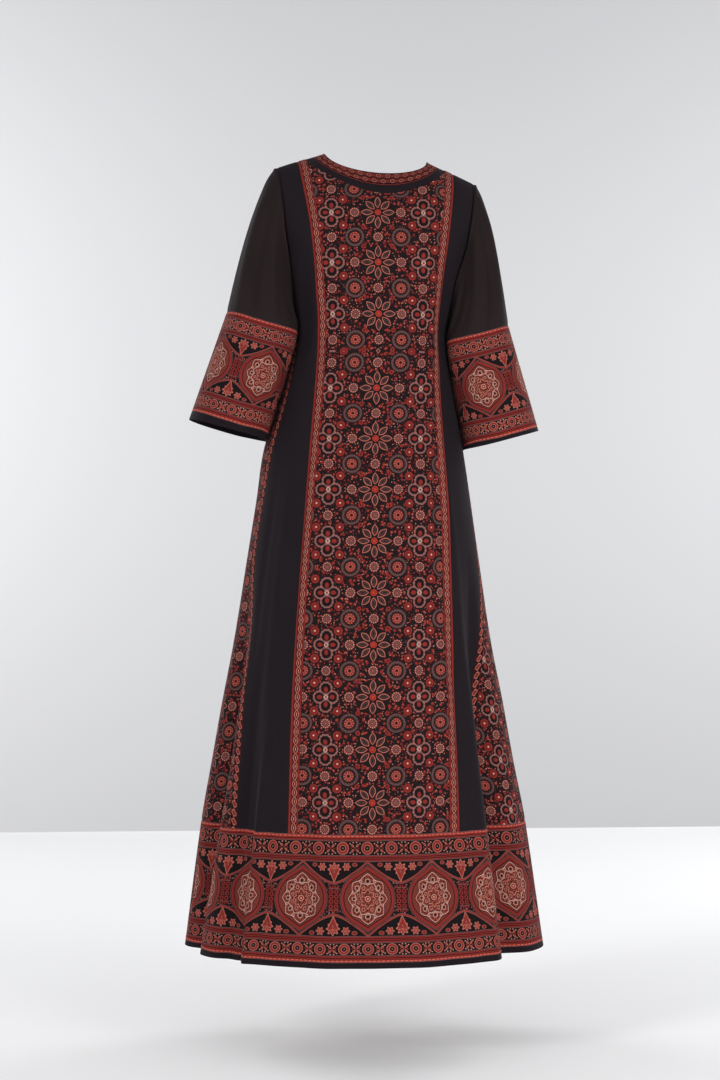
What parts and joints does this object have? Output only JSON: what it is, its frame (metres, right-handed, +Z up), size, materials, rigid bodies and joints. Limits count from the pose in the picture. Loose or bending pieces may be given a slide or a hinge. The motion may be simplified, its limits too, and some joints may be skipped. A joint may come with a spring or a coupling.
{
  "type": "kaftan",
  "caption": "Long A-line kaftan in its worn form, hollow, with elbow sleeves, printed centre panels, plain side panels, side gores, printed cuffs and a deep printed hem border.",
  "frame": {"origin": "midway between the two points where the shoulder seams meet the neck, where the wearer's shoulders hold it up", "axes": "+Z up, the front faces -Y, the back faces +Y, +X to the wearer's left"},
  "size_m": [0.6283, 0.4772, 1.3905],
  "materials": {
    "print": "matte printed cloth",
    "trim": "matte printed cloth",
    "black": "soft matte cloth",
    "sheer": "soft, slightly sheer cloth",
    "border": "matte printed cloth"
  },
  "bodies": {
    "root": {"back_centre_panel": "print", "front_centre_panel": "print", "back_trim_left": "trim", "back_trim_right": "trim", "front_trim_left": "trim", "front_trim_right": "trim", "back_side_left": "black", "back_side_right": "black", "front_side_left": "black", "front_side_right": "black", "gore_left": "print", "gore_right": "print", "neck_band_back": "trim", "neck_band_front": "trim", "neck_plain_band_back": "black", "neck_plain_band_front": "black", "sleeve_left": "sheer", "sleeve_right": "sheer", "cuff_left": "border", "cuff_right": "border", "hem_border_back": "border", "hem_border_front": "border"}
  },
  "joints": []
}
